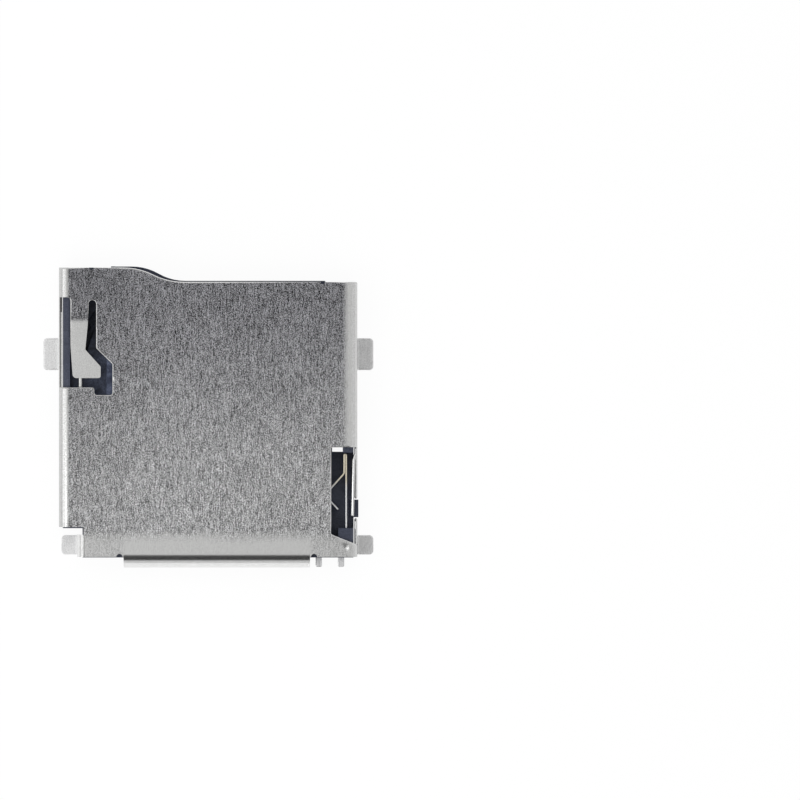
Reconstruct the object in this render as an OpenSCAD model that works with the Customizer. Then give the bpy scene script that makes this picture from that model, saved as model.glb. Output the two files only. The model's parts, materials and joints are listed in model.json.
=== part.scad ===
// Surface-mount card socket with a push-push eject slider.
// Millimetres. z = 0 is the board, +Y points out of the card mouth, -X is the slider side.

/* [Overall] */
// Length from the front lip to the rear flap
body_length = 14.9; // [14.6:0.05:15.4]
// Outside height of the cover above the board
cover_height = 1.85; // [1.8:0.01:2.0]

/* [Card] */
// Width of the card
card_width = 11.0; // [10.8:0.05:11.2]
// Gap on each side of the card
card_gap = 0.06; // [0.04:0.01:0.08]
// Room beside the card for the slider, out to the moulding's side
slider_bay = 2.66; // [2.6:0.02:2.9]
// Room beside the card for the switch, out to the moulding's side
switch_bay = 0.72; // [0.7:0.02:0.9]

/* [Cover] */
// Sheet thickness of the cover
cover_sheet = 0.15; // [0.12:0.01:0.16]
// Outside radius of the side bends
bend_radius = 0.45; // [0.35:0.05:0.5]
// Outside radius of the rear flap's bend
flap_radius = 0.78; // [0.7:0.02:0.78]
// Reach of each solder lug past its wall
lug_reach = 0.79; // [0.6:0.01:1.0]
// Length of each rear lug along its wall
rear_lug_length = 0.96; // [0.8:0.04:1.0]
// Length of each middle lug along its wall
middle_lug_length = 1.58; // [1.2:0.02:1.8]
// Drop of the spring tongue at its tip
tongue_drop = 0.14; // [0.1:0.01:0.16]

/* [Base] */
// Height of the floor under the card
floor_height = 0.5; // [0.46:0.01:0.52]
// Gap between the moulding and the cover
wall_gap = 0.04; // [0.03:0.01:0.06]
// Lip of the moulding past the cover's front edge
front_lip = 0.06; // [0.03:0.01:0.08]
// Thickness of the moulding's wall beside the slider
side_wall = 0.37; // [0.3:0.01:0.4]

/* [Contacts] */
// Width of a contact beam
beam_width = 0.3; // [0.26:0.01:0.34]
// Width of a solder tail
tail_width = 0.32; // [0.28:0.01:0.34]
// Sheet thickness of the contacts
contact_sheet = 0.15; // [0.12:0.01:0.15]
// Sheet thickness of the switch strip
detect_sheet = 0.09; // [0.08:0.01:0.1]
// Height of a contact's crest above the floor
crest_lift = 0.5; // [0.4:0.02:0.56]

/* [Slider and spring] */
// Full travel of the slider, overtravel included
slider_travel = 2.2; // [2.0:0.05:2.25]
// Running gap round the slider
slide_gap = 0.03; // [0.02:0.01:0.04]
// Outside diameter of the coil spring
spring_diameter = 1.24; // [1.1:0.02:1.26]
// Wire diameter of the coil spring
spring_wire = 0.2; // [0.16:0.01:0.2]
// Wire diameter of the cam rod
rod_diameter = 0.2; // [0.18:0.01:0.24]
// Radial gap of the rod in its pivot hole
pivot_gap = 0.03; // [0.02:0.01:0.04]

/* [Hidden] */
$fn = 48;

// Colours
steel = [0.62, 0.62, 0.63];
moulding = [0.24, 0.26, 0.33];
slider_moulding = [0.22, 0.25, 0.31];
plating = [0.80, 0.72, 0.50];
wire_steel = [0.75, 0.75, 0.76];

// Length by which cuts and joins pass through a face
over = 0.2;
// Clearance round metal that sits in the moulding
seat_fit = 0.01;

// Sides of the moulding, the cover and the card
base_side = (slider_bay + card_width + switch_bay) / 2;
cover_side = base_side + wall_gap + cover_sheet;
card_left = slider_bay - base_side;
card_right = base_side - switch_bay;
card_step = 1.3;
card_front_left = card_left + card_step;
right_wall_x = card_right + card_gap;
left_wall_x = side_wall - base_side;

// Ends of the cover and the moulding
front_y = body_length / 2;
rear_y = -body_length / 2;
cover_front_y = front_y - front_lip;
mouth_step = 0.71;
mouth_y = cover_front_y - mouth_step;
cover_rear_y = rear_y + 0.53;
base_rear_y = cover_rear_y - 0.03;
rear_wall = 0.81;
rear_wall_y = base_rear_y + rear_wall;

// Levels
cover_inside = cover_height - cover_sheet;
wall_top = cover_inside - 1.5 * wall_gap;
rear_wall_top = wall_top - 0.14;
tongue_under = cover_inside - tongue_drop;
rod_gap = 0.02;
rod_level = tongue_under - rod_gap - rod_diameter / 2;
slider_bottom = floor_height + slide_gap;
slider_top = rod_level - rod_diameter / 2 - 0.05;
anchor_level = 0.275;

// S-curves of the front edges
cover_curve = [card_left + 0.33, card_left + 3.33];
base_curve = [card_left + 0.75, card_left + 3.4];
lip_left_x = card_left - 0.27;
lip_right_x = card_right - 0.68;
nick_radius = 0.11;
nick_left_x = card_left - 1.24;
nick_right_x = card_right - 0.8;

// Cover folds and lugs
lug_bend_inside = 0.1;
lug_bend_outside = lug_bend_inside + cover_sheet;
lug_corner = 0.2;
wall_low = lug_bend_outside;
rear_left_side = cover_side - 0.9;
corner_x = 0.33 - rear_left_side;
corner_front_y = cover_rear_y + 1.48;
corner_rear_y = cover_rear_y + 1.1;
corner_lip = 0.06;
middle_lug_y = cover_front_y - 4.28;
rear_lug_y = cover_rear_y + 0.59;
window_low = cover_height - bend_radius - 0.1;

// Rear flap
flap_left_x = card_front_left - 0.95;
flap_right_x = card_right - 1.43;
flap_low = 0.7;
flap_bend_y = rear_y + flap_radius;
relief_radius = 0.15;
relief_offset = 0.2;

// Spring tongue and the window round it
tongue_root_y = cover_front_y - 1.81;
tongue_bend_y = cover_front_y - 2.6;
tongue_neck_y = cover_front_y - 2.85;
tongue_shoulder_y = cover_front_y - 3.88;
tongue_waist_y = cover_front_y - 4.06;
tongue_toe_y = cover_front_y - 4.9;
tongue_tip_y = cover_front_y - 5.47;
tongue_left_x = left_wall_x + rod_gap;
tongue_root_right = tongue_left_x + 0.9;
tongue_neck_right = tongue_left_x + 0.85;
tongue_waist_right = tongue_left_x + 0.73;
tongue_tip_left = tongue_left_x + 0.11;
tongue_tip_right = tongue_left_x + 1.49;
tongue_corner = 0.2;
tongue_angle = atan(tongue_drop / (tongue_bend_y - tongue_tip_y));
side_slot_top_y = cover_front_y - 1.47;
round_slot_width = 0.35;
window_corner = 0.12;
window_knee_y = cover_front_y - 3.99;
window_step_y = cover_front_y - 4.79;
window_low_y = cover_front_y - 5.92;
window_corner_y = cover_front_y - 6.29;
window_left_x = tongue_tip_right - 0.3;
window_right_x = tongue_tip_right + 0.57;

// Card switch: opening in the cover, side tab, bay and strip
switch_front_y = rear_wall_y + 4.64;
switch_left_x = cover_side - 1.29;
switch_corner = [switch_left_x, rear_wall_y + 0.35];
switch_slope_end = [cover_side + over, rear_wall_y - 0.25];
tab_jog = 0.11;
tab_lean = 0.06;
tab_jog_y = rear_wall_y + 4.35;
tab_lean_y = rear_wall_y + 4.0;
tab_rear_y = rear_wall_y + 1.22;
tab_low = floor_height + 0.3;
tab_high = tab_low + 0.55;
strip_low = floor_height + 0.25;
strip_high = strip_low + 0.5;
strip_x = base_side - 0.36;
hairpin_gap = 0.01;
strip_return_x = strip_x - detect_sheet - hairpin_gap;
strip_front_y = rear_wall_y + 4.34;
strip_root_y = rear_wall_y + 0.1;
foot_length = 0.4;
bow_start_y = rear_wall_y + 3.35;
bow_corner = [strip_return_x - 0.97, rear_wall_y + 2.27];
bow_end = [strip_return_x - 0.3, rear_wall_y + 1.56];
bow_radius = 0.25;
switch_bay_front_y = strip_front_y + wall_gap;
switch_wall_x = base_side - 0.53;
switch_block_y = rear_wall_y + 0.65;
switch_block_x = right_wall_x - 0.1;
floor_window_low = [base_side - 1.06, switch_bay_front_y + wall_gap];
floor_window_high = [base_side - 0.21, rear_wall_y + 5.4];

// Snaps on the moulding's sides, each in a notch of the cover's wall:
// side, front, length, reach past the wall and top of the notch
snap_low = 0.28;
snap_high = 0.52;
snap_gap = 0.05;
snaps = [
    [-1, cover_front_y - 6.73, 0.72, 0, snap_high + snap_gap],
    [1, cover_front_y - 6.73, 0.72, 0, snap_high + snap_gap],
    [1, rear_wall_y + 2.05, 0.87, 0.05, tab_low]
];

// Contact row: its pitch goes with the card's width
contact_pitch = card_width / 10;
contact_count = 8;
row_centre_x = (card_front_left + card_right) / 2;
contact_slot_width = 0.58;
slot_front_y = rear_wall_y + 5.71;
slot_rear_y = rear_wall_y + 1.01;
beam_root_y = rear_wall_y + 1.1;
crest_y = rear_wall_y + 3.6;
tip_y = rear_wall_y + 4.41;
tip_drop = 0.38;
beam_root_radius = 0.8;
crest_radius = 0.5;
long_tip = 0.23;
short_tip = -0.24;
tip_shift = [0, short_tip, 0, long_tip, 0, long_tip, 0, 0];
tail_y = rear_y + 0.02;
tail_bend_y = base_rear_y + 0.15;
tail_rise = 0.1;
tail_bend_radius = 0.12;
anchor_y = tail_bend_y + tail_rise;
notch_front_y = anchor_y + 0.08;
notch_width = 0.52;
tail_corner = 0.08;
detect_tail_x = row_centre_x + contact_pitch * (contact_count + 1) / 2;

// Coil spring and its bay
spring_x = card_front_left - 0.95;
spring_z = cover_inside - 0.08 - spring_diameter / 2;
spring_room = 4.6;
spring_end_gap = 0.02;
trough_radius = spring_diameter / 2 + 0.05;
spring_bay_left_x = spring_x - trough_radius - 0.11;
spring_bay_right_x = spring_x + trough_radius;
spring_window_front_y = rear_wall_y + 3.51;
spring_rib_front_y = rear_wall_y + 1.95;
spring_front_y = rear_wall_y + spring_room - spring_end_gap;
spring_rear_y = rear_wall_y + spring_end_gap;
close_pitch = 0.3;
close_turns_front = 1;
close_turns_rear = 2;
open_pitch_wanted = 0.5;

// Pivot block of the cam rod
pivot_block_front_y = rear_wall_y + 3.35;
pivot_block_rear_y = rear_wall_y + 1.8;
pivot_block_right_x = left_wall_x + 1.22;

// Slider
arm_left_x = left_wall_x + slide_gap;
arm_right_x = card_left - 0.24;
arm_front_y = cover_front_y - 0.75;
arm_rear_y = pivot_block_front_y + slider_travel + 0.24;
arm_front_gap = 0.06;
rim_width = 0.23;
boss_x = arm_right_x - 0.6;
boss_width = 0.66;
boss_length = 2.76;
boss_front_y = arm_front_y - 0.05;
guide_gap = 0.1;
guide_front_y = boss_front_y + 0.16;
guide_rear_y = arm_rear_y - 0.46;
guide_corner = 0.2;
pusher_right_x = card_front_left - 0.27;
pusher_rear_y = rear_wall_y + spring_room;
pusher_front_y = pusher_rear_y + 4.9;
pusher_slant = 0.7;
peg_radius = spring_diameter / 2 - spring_wire - 0.12;
peg_length = 0.9;

// Cam rod and cam track
rod_x = left_wall_x + 0.5;
rod_pivot_y = rear_wall_y + 2.7;
rod_follower_y = tongue_tip_y + 0.94;
rod_elbow = 0.2;
follower_low = slider_top - 0.3;
pivot_low = slider_top - 0.6;
track_width = rod_diameter + 0.12;
track_floor = follower_low - 0.04;
track_step = 0.05;
track_swing = 0.78;
track_side = 0.18;
latch_back = 0.62;
track_start = [rod_x, rod_follower_y];
track_end = track_start + [track_swing, slider_travel];
track_latch = track_end - [track_swing - 0.33, latch_back];
track_release = track_start + [-track_side, slider_travel];
track_return = track_start + [-track_side, 1.0];

// Round marks under the floor, level with it inside a ring groove
mark_y = cover_front_y - 3.81;
mark_spacing = 8.0;
mark_centre_x = (card_left + card_right) / 2;
mark_inner_radius = 0.38;
mark_outer_radius = 0.47;
mark_depth = 0.06;

// Outline helpers

function unit(v) = v / norm(v);

// Points of an arc about a centre
function arc(centre, radius, from, turn, steps) = [
    for (i = [0 : steps])
        let (angle = from + turn * i / steps)
            centre + radius * [cos(angle), sin(angle)]
];

// Arc that rounds one corner of a path
function corner_arc(before, corner, after, radius, steps = 6) =
    let (
        into = unit(corner - before),
        onward = unit(after - corner),
        turn = atan2(cross(into, onward), into * onward),
        reach = radius * tan(abs(turn) / 2),
        start = corner - into * reach,
        centre = start + sign(turn) * radius * [-into.y, into.x],
        from = atan2(start.y - centre.y, start.x - centre.x)
    )
    arc(centre, radius, from, turn, steps);

// Path with its inner corners rounded, one radius for each
function rounded_path(points, radii) = [
    points[0],
    for (i = [1 : len(points) - 2])
        each corner_arc(points[i - 1], points[i], points[i + 1], radii[i - 1]),
    points[len(points) - 1]
];

// Closed outline through [x, y, radius] corners
function rounded_loop(corners) = [
    for (i = [0 : len(corners) - 1])
        let (
            count = len(corners),
            here = corners[i],
            before = corners[(i + count - 1) % count],
            after = corners[(i + 1) % count]
        )
        each (here[2] == 0
            ? [[here.x, here.y]]
            : corner_arc([before.x, before.y], [here.x, here.y], [after.x, after.y], here[2]))
];

// Unit normal of a path at one of its points
function path_normal(path, i) =
    let (along = unit(path[min(i + 1, len(path) - 1)] - path[max(i - 1, 0)]))
        [-along.y, along.x];

// Band of one thickness along a path
module band(path, thickness) {
    last = len(path) - 1;
    left = [for (i = [0 : last]) path[i] + thickness / 2 * path_normal(path, i)];
    right = [for (i = [last : -1 : 0]) path[i] - thickness / 2 * path_normal(path, i)];
    polygon(concat(left, right));
}

// Rectangle between two corners
module rect(low, high) {
    translate(low) square(high - low);
}

// Box between two corners
module box(low, high) {
    translate(low) cube(high - low);
}

// Rectangle from x = 0 to length with its two far corners rounded
module tab_plan(length, width, corner) {
    rect([0, -width / 2], [length - corner, width / 2]);
    rect([0, corner - width / 2], [length, width / 2 - corner]);
    for (side = [-1, 1])
        translate([length - corner, side * (width / 2 - corner)]) circle(corner);
}

// Slot with round ends between two points
module round_slot(from, to, width) {
    run = to - from;
    translate(from) circle(width / 2);
    translate(to) circle(width / 2);
    translate(from)
        rotate(atan2(run.y, run.x))
            translate([0, -width / 2]) square([norm(run), width]);
}

// First quarter of a ring, centred on the origin
module quarter_ring(outside, thickness) {
    intersection() {
        difference() {
            circle(outside);
            circle(outside - thickness);
        }
        square(outside + over);
    }
}

// Extrudes an (x, z) profile from y_low to y_high
module along_y(y_low, y_high) {
    translate([0, y_high, 0]) rotate([90, 0, 0]) linear_extrude(y_high - y_low) children();
}

// Extrudes a (y, z) profile from x_low to x_high
module along_x(x_low, x_high) {
    translate([x_low, 0, 0]) rotate([90, 0, 90]) linear_extrude(x_high - x_low) children();
}

// Plan with a straight front on the slider side and an S-curve down to the card mouth
module stepped_plan(side, y_front, y_mouth, y_rear, curve) {
    rise = y_front - y_mouth;
    run = (curve[1] - curve[0]) / 2;
    radius = (run * run + rise * rise / 4) / rise;
    middle_x = curve[0] + run;
    rect([-side, y_rear], [side, y_mouth]);
    rect([-side, y_rear], [curve[0], y_front]);
    intersection() {
        translate([curve[0], y_front - radius]) circle(radius);
        rect([curve[0], y_mouth - over], [middle_x, y_front]);
    }
    difference() {
        rect([middle_x, y_mouth - over], [curve[1], y_mouth + rise / 2]);
        translate([curve[1], y_mouth + radius]) circle(radius);
    }
}

// Cover

// Half of the folded section: plate, bend and wall, with the wall's outside at x = side
module half_section(side) {
    bend_z = cover_height - bend_radius;
    rect([0, cover_inside], [side - bend_radius, cover_height]);
    translate([side - bend_radius, bend_z]) quarter_ring(bend_radius, cover_sheet);
    rect([side - cover_sheet, wall_low], [side, bend_z]);
}

module cover_body() {
    intersection() {
        union() {
            along_y(cover_rear_y, cover_front_y) half_section(cover_side);
            along_y(corner_front_y, cover_front_y) mirror([1, 0]) half_section(cover_side);
            along_y(cover_rear_y, corner_front_y + over) rect([corner_x, cover_inside], [0, cover_height]);
            along_y(cover_rear_y, corner_rear_y) mirror([1, 0]) half_section(rear_left_side);
        }
        linear_extrude(cover_height + over)
            stepped_plan(cover_side + over, cover_front_y, mouth_y, cover_rear_y - over, cover_curve);
    }
}

// Lug at the foot of a wall whose outside is at x = side, centred on y
module lug(side, y, length) {
    bend_x = side + lug_bend_inside;
    along_y(y - length / 2, y + length / 2) {
        translate([bend_x, lug_bend_outside])
            rotate(180) quarter_ring(lug_bend_outside, cover_sheet);
        rect([side - cover_sheet, wall_low], [side, wall_low + over]);
    }
    translate([bend_x, y, 0])
        linear_extrude(cover_sheet)
            tab_plan(lug_reach - lug_bend_inside, length, lug_corner);
}

module lugs() {
    lug(cover_side, middle_lug_y, middle_lug_length);
    lug(cover_side, rear_lug_y, rear_lug_length);
    mirror([1, 0, 0]) lug(cover_side, middle_lug_y, middle_lug_length);
    mirror([1, 0, 0]) lug(rear_left_side, rear_lug_y, rear_lug_length);
}

module flap_profile() {
    bend_z = cover_height - flap_radius;
    rect([flap_bend_y, cover_inside], [flap_bend_y + over, cover_height]);
    translate([flap_bend_y, bend_z]) mirror([1, 0]) quarter_ring(flap_radius, cover_sheet);
    rect([rear_y, flap_low], [rear_y + cover_sheet, bend_z]);
}

// Plate removed behind the flap's bend, with a round relief beside each end
module flap_cut_plan() {
    rect([flap_left_x, rear_y], [flap_right_x, flap_bend_y]);
    for (x = [flap_left_x - relief_offset, flap_right_x + relief_offset])
        translate([x, cover_rear_y]) circle(relief_radius);
}

module tongue_plan() {
    top_y = tongue_root_y + over;
    polygon(rounded_loop([
        [tongue_root_right, top_y, 0],
        [tongue_left_x, top_y, 0],
        [tongue_left_x, tongue_shoulder_y, 0],
        [tongue_tip_left, tongue_tip_y, tongue_corner],
        [tongue_tip_right, tongue_tip_y, window_corner],
        [tongue_tip_right, tongue_toe_y, window_corner],
        [tongue_waist_right, tongue_waist_y, window_corner],
        [tongue_neck_right, tongue_neck_y, 0],
        [tongue_root_right, tongue_root_y, 0]
    ]));
}

// Opening round the tongue, cut through the side bend
module tongue_window_plan() {
    slot_right_x = tongue_root_right + round_slot_width;
    outside_x = -cover_side - over;
    translate([slot_right_x - round_slot_width / 2, tongue_root_y]) circle(round_slot_width / 2);
    polygon(rounded_loop([
        [outside_x, side_slot_top_y, 0],
        [outside_x, window_low_y, 0],
        [window_left_x, window_low_y, window_corner],
        [window_left_x, window_corner_y, window_corner],
        [window_right_x, window_corner_y, window_corner],
        [window_right_x, window_step_y, window_corner],
        [slot_right_x, window_knee_y, window_corner],
        [slot_right_x, tongue_root_y, 0],
        [tongue_left_x, tongue_root_y, 0],
        [tongue_left_x, side_slot_top_y, tongue_corner]
    ]));
}

module tongue() {
    difference() {
        translate([0, 0, cover_inside]) linear_extrude(cover_sheet) tongue_plan();
        box([-cover_side, rear_y, 0], [0, tongue_bend_y, cover_height + over]);
    }
    translate([0, tongue_bend_y, cover_height])
        rotate([tongue_angle, 0, 0])
            translate([0, -tongue_bend_y, -cover_sheet])
                difference() {
                    linear_extrude(cover_sheet) tongue_plan();
                    box([-cover_side, tongue_bend_y, -over], [0, front_y, over + cover_sheet]);
                }
}

// Opening over the card switch, cut through the side bend
module switch_window_plan() {
    polygon(rounded_loop([
        [switch_slope_end.x, switch_front_y, 0],
        [switch_left_x, switch_front_y, 0],
        [switch_corner.x, switch_corner.y, window_corner],
        [switch_slope_end.x, switch_slope_end.y, 0]
    ]));
}

// Tab of the right wall that jogs inward to meet the switch strip
module side_tab() {
    wall_x = cover_side - cover_sheet / 2;
    path = rounded_path(
        [
            [wall_x, switch_front_y + over],
            [wall_x, tab_jog_y],
            [wall_x - tab_jog, tab_lean_y],
            [wall_x - tab_jog - tab_lean, tab_rear_y]
        ],
        [tab_jog, tab_jog]
    );
    translate([0, 0, tab_low]) linear_extrude(tab_high - tab_low) band(path, cover_sheet);
}

module cover_cuts() {
    wall_inside = cover_side - cover_sheet - wall_gap;
    translate([0, 0, cover_inside - over]) linear_extrude(2 * over + cover_sheet) flap_cut_plan();
    translate([0, 0, window_low]) linear_extrude(cover_height) tongue_window_plan();
    translate([0, 0, window_low]) linear_extrude(cover_height) switch_window_plan();
    box([wall_inside, tab_rear_y - over, tab_low - snap_gap],
        [cover_side + over, switch_front_y, cover_height]);
    for (snap = snaps)
        mirror([snap[0] < 0 ? 1 : 0, 0, 0])
            box([wall_inside, snap[1] - snap[2] - snap_gap, 0],
                [cover_side + over, snap[1] + snap_gap, snap[4]]);
    for (nick = [[nick_left_x, cover_front_y], [nick_right_x, mouth_y]])
        translate([nick.x, nick.y, cover_inside - over])
            cylinder(r = nick_radius, h = 2 * over + cover_sheet);
}

module cover_shell() {
    color(steel) {
        difference() {
            cover_body();
            cover_cuts();
        }
        along_x(flap_left_x, flap_right_x) flap_profile();
        lugs();
        tongue();
        side_tab();
    }
}

// Base

// Moulding's outline: a lip past the cover's front edge, a cut rear corner and a bevelled front corner
module base_plan() {
    bevel = 0.15;
    difference() {
        union() {
            stepped_plan(base_side, cover_front_y, mouth_y, base_rear_y, cover_curve);
            intersection() {
                stepped_plan(base_side, front_y, mouth_y + front_lip, base_rear_y, base_curve);
                rect([lip_left_x, base_rear_y], [lip_right_x, front_y]);
            }
        }
        rect([-base_side - over, base_rear_y - over], [corner_x - corner_lip, corner_front_y - corner_lip]);
        polygon([
            [-base_side - over, cover_front_y + over],
            [-base_side - over, cover_front_y - bevel - over],
            [-base_side + bevel + over, cover_front_y + over]
        ]);
    }
}

// Walls that stand on the floor
module wall_plan() {
    rect([-base_side, rear_y], [left_wall_x, front_y]);
    rect([-base_side, arm_front_y + arm_front_gap], [card_left - card_gap, front_y]);
    rect([right_wall_x, floor_window_high.y], [base_side, front_y]);
    rect([switch_wall_x, switch_bay_front_y], [base_side, front_y]);
    rect([switch_block_x, rear_wall_y - over], [base_side, switch_block_y]);
    rect([spring_bay_right_x, rear_wall_y - over], [card_front_left - card_gap, spring_rib_front_y]);
    rect([-base_side, rear_wall_y - over], [spring_bay_left_x, pivot_block_rear_y]);
}

// Room inside the cover: square section with its top corners rounded to clear the bends
module inside_section() {
    corner = bend_radius - cover_sheet;
    rect([-base_side, 0], [base_side, wall_top - corner]);
    rect([corner - base_side, 0], [base_side - corner, wall_top]);
    for (side = [-1, 1])
        translate([side * (base_side - corner), wall_top - corner]) circle(corner);
}

module walls() {
    intersection() {
        linear_extrude(wall_top)
            intersection() {
                base_plan();
                wall_plan();
            }
        along_y(rear_y, front_y) inside_section();
    }
    linear_extrude(rear_wall_top)
        intersection() {
            base_plan();
            rect([-base_side, base_rear_y], [base_side, rear_wall_y]);
        }
    box([left_wall_x - over, pivot_block_rear_y - over, 0],
        [pivot_block_right_x, pivot_block_front_y, slider_top - slide_gap]);
}

module snap_bumps() {
    for (snap = snaps)
        mirror([snap[0] < 0 ? 1 : 0, 0, 0])
            box([base_side - over, snap[1] - snap[2], snap_low],
                [cover_side + snap[3], snap[1], snap_high]);
}

// Seat of a contact in the floor and the notch round its tail
module contact_room(x, width, sheet) {
    seat = width / 2 + seat_fit;
    seat_half = sheet / 2 + seat_fit;
    box([x - seat, notch_front_y - over, anchor_level - seat_half],
        [x + seat, slot_rear_y + over, anchor_level + seat_half]);
    box([x - notch_width / 2, base_rear_y - over, -over],
        [x + notch_width / 2, notch_front_y, anchor_level + seat_half]);
}

module contact_slots() {
    for (i = [1 : contact_count]) {
        x = contact_x(i);
        contact_room(x, max(beam_width, tail_width), contact_sheet);
        box([x - contact_slot_width / 2, slot_rear_y, -over],
            [x + contact_slot_width / 2, slot_front_y, floor_height + over]);
    }
}

// Seat of the switch strip: its foot in the floor, its blade in the block above
module detect_room() {
    half = detect_sheet / 2 + seat_fit;
    tail_half = tail_width / 2 + seat_fit;
    box([detect_tail_x - tail_half, notch_front_y - over, anchor_level - half],
        [strip_x + half, strip_root_y + foot_length + seat_fit, anchor_level + half]);
    box([detect_tail_x - notch_width / 2, base_rear_y - over, -over],
        [detect_tail_x + notch_width / 2, notch_front_y, anchor_level + half]);
    box([strip_x - half, strip_root_y - seat_fit, anchor_level - half],
        [strip_x + half, switch_block_y + over, strip_high + seat_fit]);
}

module guide_slot() {
    translate([boss_x, guide_front_y, -over])
        rotate(-90)
            linear_extrude(floor_height + 2 * over)
                tab_plan(guide_front_y - guide_rear_y, boss_width + 2 * guide_gap, guide_corner);
}

module spring_cut() {
    box([spring_bay_left_x, rear_wall_y, -over],
        [spring_bay_right_x, spring_window_front_y, floor_height + over]);
    translate([spring_x, pusher_rear_y + over, spring_z])
        rotate([90, 0, 0])
            cylinder(r = trough_radius, h = spring_room + over);
}

module round_marks() {
    for (side = [-1, 1])
        translate([mark_centre_x + side * mark_spacing / 2, mark_y, -over])
            difference() {
                cylinder(r = mark_outer_radius, h = over + mark_depth);
                cylinder(r = mark_inner_radius, h = over + mark_depth);
            }
}

module base_housing() {
    color(moulding)
        difference() {
            union() {
                linear_extrude(floor_height) base_plan();
                walls();
                snap_bumps();
            }
            contact_slots();
            detect_room();
            guide_slot();
            spring_cut();
            round_marks();
            translate([0, 0, -over])
                linear_extrude(floor_height + over) rect(floor_window_low, floor_window_high);
            translate([rod_x, rod_pivot_y, pivot_low - slide_gap])
                cylinder(r = rod_diameter / 2 + pivot_gap, h = slider_top);
        }
}

// Contacts

function contact_x(i) = row_centre_x + contact_pitch * (i - (contact_count + 1) / 2);

// Solder tail: flat foot, and the bend up to the seat that ends at seat_y
module tail(x, width, sheet, seat_y) {
    foot = sheet / 2;
    foot_start_y = tail_bend_y - tail_bend_radius;
    path = rounded_path(
        [[foot_start_y - over, foot], [tail_bend_y, foot], [anchor_y, anchor_level], [seat_y, anchor_level]],
        [tail_bend_radius, tail_bend_radius]
    );
    along_x(x - width / 2, x + width / 2) band(path, sheet);
    translate([x, foot_start_y, 0])
        rotate(-90)
            linear_extrude(sheet) tab_plan(foot_start_y - tail_y, width, tail_corner);
}

module contact(i) {
    crest_level = floor_height + crest_lift;
    crest = [crest_y + tip_shift[i - 1], crest_level];
    tip = [tip_y + tip_shift[i - 1], crest_level - tip_drop];
    path = rounded_path(
        [[slot_rear_y - over, anchor_level], [beam_root_y, anchor_level], crest, tip],
        [beam_root_radius, crest_radius]
    );
    color(plating) {
        tail(contact_x(i), tail_width, contact_sheet, slot_rear_y - over / 2);
        along_x(contact_x(i) - beam_width / 2, contact_x(i) + beam_width / 2)
            band(path, contact_sheet);
    }
}

// Switch strip on edge: straight blade, hairpin, then a bow that stands in the card's way
module detect_contact() {
    half = detect_sheet / 2;
    turn_radius = (strip_x - strip_return_x) / 2;
    turn_y = strip_front_y - turn_radius - half;
    hairpin = arc([strip_x - turn_radius, turn_y], turn_radius, 0, 180, 8);
    bow = rounded_path(
        [[strip_return_x, turn_y - over], [strip_return_x, bow_start_y], bow_corner, bow_end],
        [bow_radius, bow_radius]
    );
    color(plating) {
        translate([0, 0, strip_low])
            linear_extrude(strip_high - strip_low)
                band(concat([[strip_x, strip_root_y]], hairpin, bow), detect_sheet);
        box([strip_x - half, strip_root_y, anchor_level - half],
            [strip_x + half, switch_block_y, strip_high]);
        box([detect_tail_x - tail_width / 2, strip_root_y, anchor_level - half],
            [strip_x + half, strip_root_y + foot_length, anchor_level + half]);
        tail(detect_tail_x, tail_width, detect_sheet, strip_root_y + foot_length / 2);
    }
}

// Slider

module pusher_plan() {
    root_x = arm_right_x - over;
    polygon([
        [root_x, pusher_rear_y],
        [pusher_right_x, pusher_rear_y],
        [pusher_right_x, pusher_front_y - pusher_slant],
        [pusher_right_x - pusher_slant, pusher_front_y],
        [root_x, pusher_front_y]
    ]);
}

// Cam track: each leg of the heart up to the return is one step deeper than the leg before it
module cam_track() {
    legs = [
        [track_start, track_end, 0],
        [track_end, track_latch, 1],
        [track_latch, track_release, 2],
        [track_release, track_return, 3],
        [track_return, track_start, 0]
    ];
    for (leg = legs)
        translate([0, 0, track_floor - track_step * leg[2]])
            linear_extrude(cover_height) round_slot(leg[0], leg[1], track_width);
}

module slider() {
    rim_left_x = arm_right_x - rim_width;
    color(slider_moulding)
        difference() {
            union() {
                box([arm_left_x, arm_rear_y, slider_bottom], [arm_right_x, arm_front_y, slider_top]);
                box([rim_left_x, arm_rear_y, slider_bottom], [arm_right_x, arm_front_y, wall_top]);
                translate([0, 0, slider_bottom]) linear_extrude(wall_top - slider_bottom) pusher_plan();
                box([boss_x - boss_width / 2, boss_front_y - boss_length, slide_gap],
                    [boss_x + boss_width / 2, boss_front_y, slider_bottom + slide_gap]);
                translate([spring_x, pusher_rear_y + over, spring_z])
                    rotate([90, 0, 0]) cylinder(r = peg_radius, h = peg_length + over);
            }
            cam_track();
        }
}

// Cam rod

// Elbow from a leg that comes up to the origin to a run along +Y
module elbow() {
    translate([0, rod_elbow, -rod_elbow])
        rotate([90, 0, 90])
            rotate(90)
                rotate_extrude(angle = 90) translate([rod_elbow, 0]) circle(rod_diameter / 2);
}

module cam_rod() {
    radius = rod_diameter / 2;
    leg_top = rod_level - rod_elbow;
    run = rod_follower_y - rod_pivot_y - 2 * rod_elbow;
    color(wire_steel)
        translate([rod_x, 0, 0]) {
            translate([0, rod_follower_y - rod_elbow, rod_level])
                rotate([90, 0, 0]) cylinder(r = radius, h = run);
            translate([0, rod_pivot_y, rod_level]) elbow();
            translate([0, rod_follower_y, rod_level]) mirror([0, 1, 0]) elbow();
            translate([0, rod_pivot_y, pivot_low]) cylinder(r = radius, h = leg_top - pivot_low);
            translate([0, rod_follower_y, follower_low]) cylinder(r = radius, h = leg_top - follower_low);
        }
}

// Coil spring

spring_run = spring_front_y - spring_rear_y - spring_wire;
close_run = close_pitch * (close_turns_front + close_turns_rear);
open_turns = round((spring_run - close_run) / open_pitch_wanted);
open_pitch = (spring_run - close_run) / open_turns;
spring_turns = close_turns_front + open_turns + close_turns_rear;

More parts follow.
